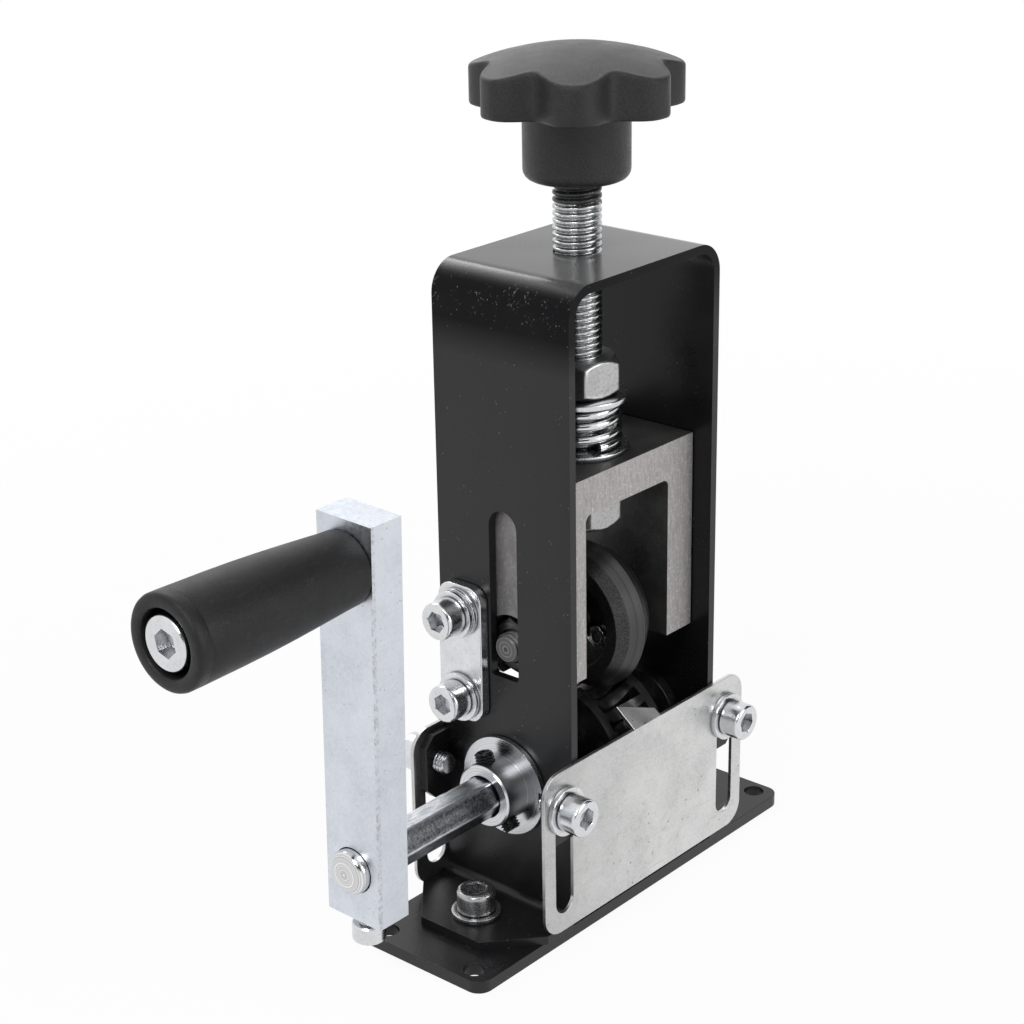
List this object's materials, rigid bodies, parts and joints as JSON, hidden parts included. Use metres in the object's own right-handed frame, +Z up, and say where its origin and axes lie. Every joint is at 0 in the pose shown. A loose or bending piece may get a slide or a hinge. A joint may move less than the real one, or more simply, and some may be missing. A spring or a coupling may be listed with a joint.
{
  "type": "hand crank wire stripper",
  "caption": "Bench wire stripper: a knob on a screw feeds a sprung cutter disc down to a toothed wheel turned by a side crank, in a bent sheet housing on a drilled base.",
  "frame": {"origin": "centre of the base plate's underside", "axes": "+X along the drive shaft with the crank at -X, +Y to the back, +Z up along the feed screw"},
  "size_m": [0.2065, 0.0606, 0.2247],
  "materials": {
    "black_paint": "satin black paint with small specks and scratches",
    "zinc": "bright zinc plating",
    "crank_zinc": "bluish zinc plating, slightly mottled",
    "guide_steel": "satin sheet steel with fine scratches",
    "bar_steel": "sawn bar, black outside and grey at the cut faces",
    "black_oxide": "blackened steel, lightly oiled",
    "knob_plastic": "fine-grained black plastic",
    "grip_plastic": "satin black plastic with wear marks"
  },
  "bodies": {
    "frame": {"base_plate": "black_paint", "housing": "black_paint", "foot_screws": "zinc", "foot_washers": "zinc", "keeper_plate": "zinc", "keeper_screws": "zinc", "keeper_washers": "zinc", "guide_screws": "zinc", "guide_washers": "zinc", "left_bush": "black_oxide", "right_bush": "black_oxide"},
    "front_guide_body": {"front_guide": "guide_steel"},
    "rear_guide_body": {"rear_guide": "guide_steel"},
    "screw_carrier": {"upper_washer": "zinc"},
    "screw": {"knob": "knob_plastic", "lead_screw": "zinc", "clamp_nut": "zinc", "retaining_nut": "zinc"},
    "carriage_body": {"carriage": "bar_steel", "lower_washer": "zinc", "spring": "zinc", "cutter_axle": "zinc", "axle_nuts": "black_oxide", "axle_spacers": "black_oxide"},
    "cutter": {"cutter_blade": "black_oxide", "cutter_sides": "black_oxide", "cutter_screws": "black_oxide", "cutter_nuts": "black_oxide", "cutter_bush": "black_oxide"},
    "crank": {"drive_shaft": "zinc", "feed_wheel": "black_oxide", "wheel_set_screw": "black_oxide", "left_collar": "zinc", "right_collar": "zinc", "collar_set_screws": "black_oxide", "crank_arm": "crank_zinc", "crank_clamp_screw": "zinc", "grip_spindle": "zinc"},
    "grip_body": {"grip": "grip_plastic"}
  },
  "joints": [
    {"name": "front_guide_slide", "type": "slide", "parent": "frame", "child": "front_guide_body", "axis": [0, 0, 1], "range_m": [-0.002, 0.006]},
    {"name": "rear_guide_slide", "type": "slide", "parent": "frame", "child": "rear_guide_body", "axis": [0, 0, 1], "range_m": [-0.0007, 0.0073]},
    {"name": "screw_feed", "type": "slide", "parent": "frame", "child": "screw_carrier", "axis": [0, 0, 1], "range_m": [0, 0.02275]},
    {"name": "knob_turn", "type": "hinge", "parent": "screw_carrier", "child": "screw", "pos_m": [0, 0, 0.136], "axis": [0, 0, 1], "range_deg": [0, 4680]},
    {"name": "carriage_float", "type": "slide", "parent": "screw_carrier", "child": "carriage_body", "axis": [0, 0, 1], "range_m": [0, 0.0025], "stiffness_N_per_m": 8000, "springref_m": -0.002, "deforming": ["spring"]},
    {"name": "blade_spin", "type": "hinge", "parent": "carriage_body", "child": "cutter", "pos_m": [0.001, 0, 0.0763], "axis": [1, 0, 0], "continuous": true},
    {"name": "crank_turn", "type": "hinge", "parent": "frame", "child": "crank", "pos_m": [0, 0, 0.0384], "axis": [1, 0, 0], "continuous": true},
    {"name": "grip_spin", "type": "hinge", "parent": "crank", "child": "grip_body", "pos_m": [-0.114, -0.00181, 0.11828], "axis": [1, 0, 0], "continuous": true}
  ],
  "couplings": [
    {"joint": "knob_turn", "follows": "screw_feed", "rad_per_m": 3590.4}
  ]
}
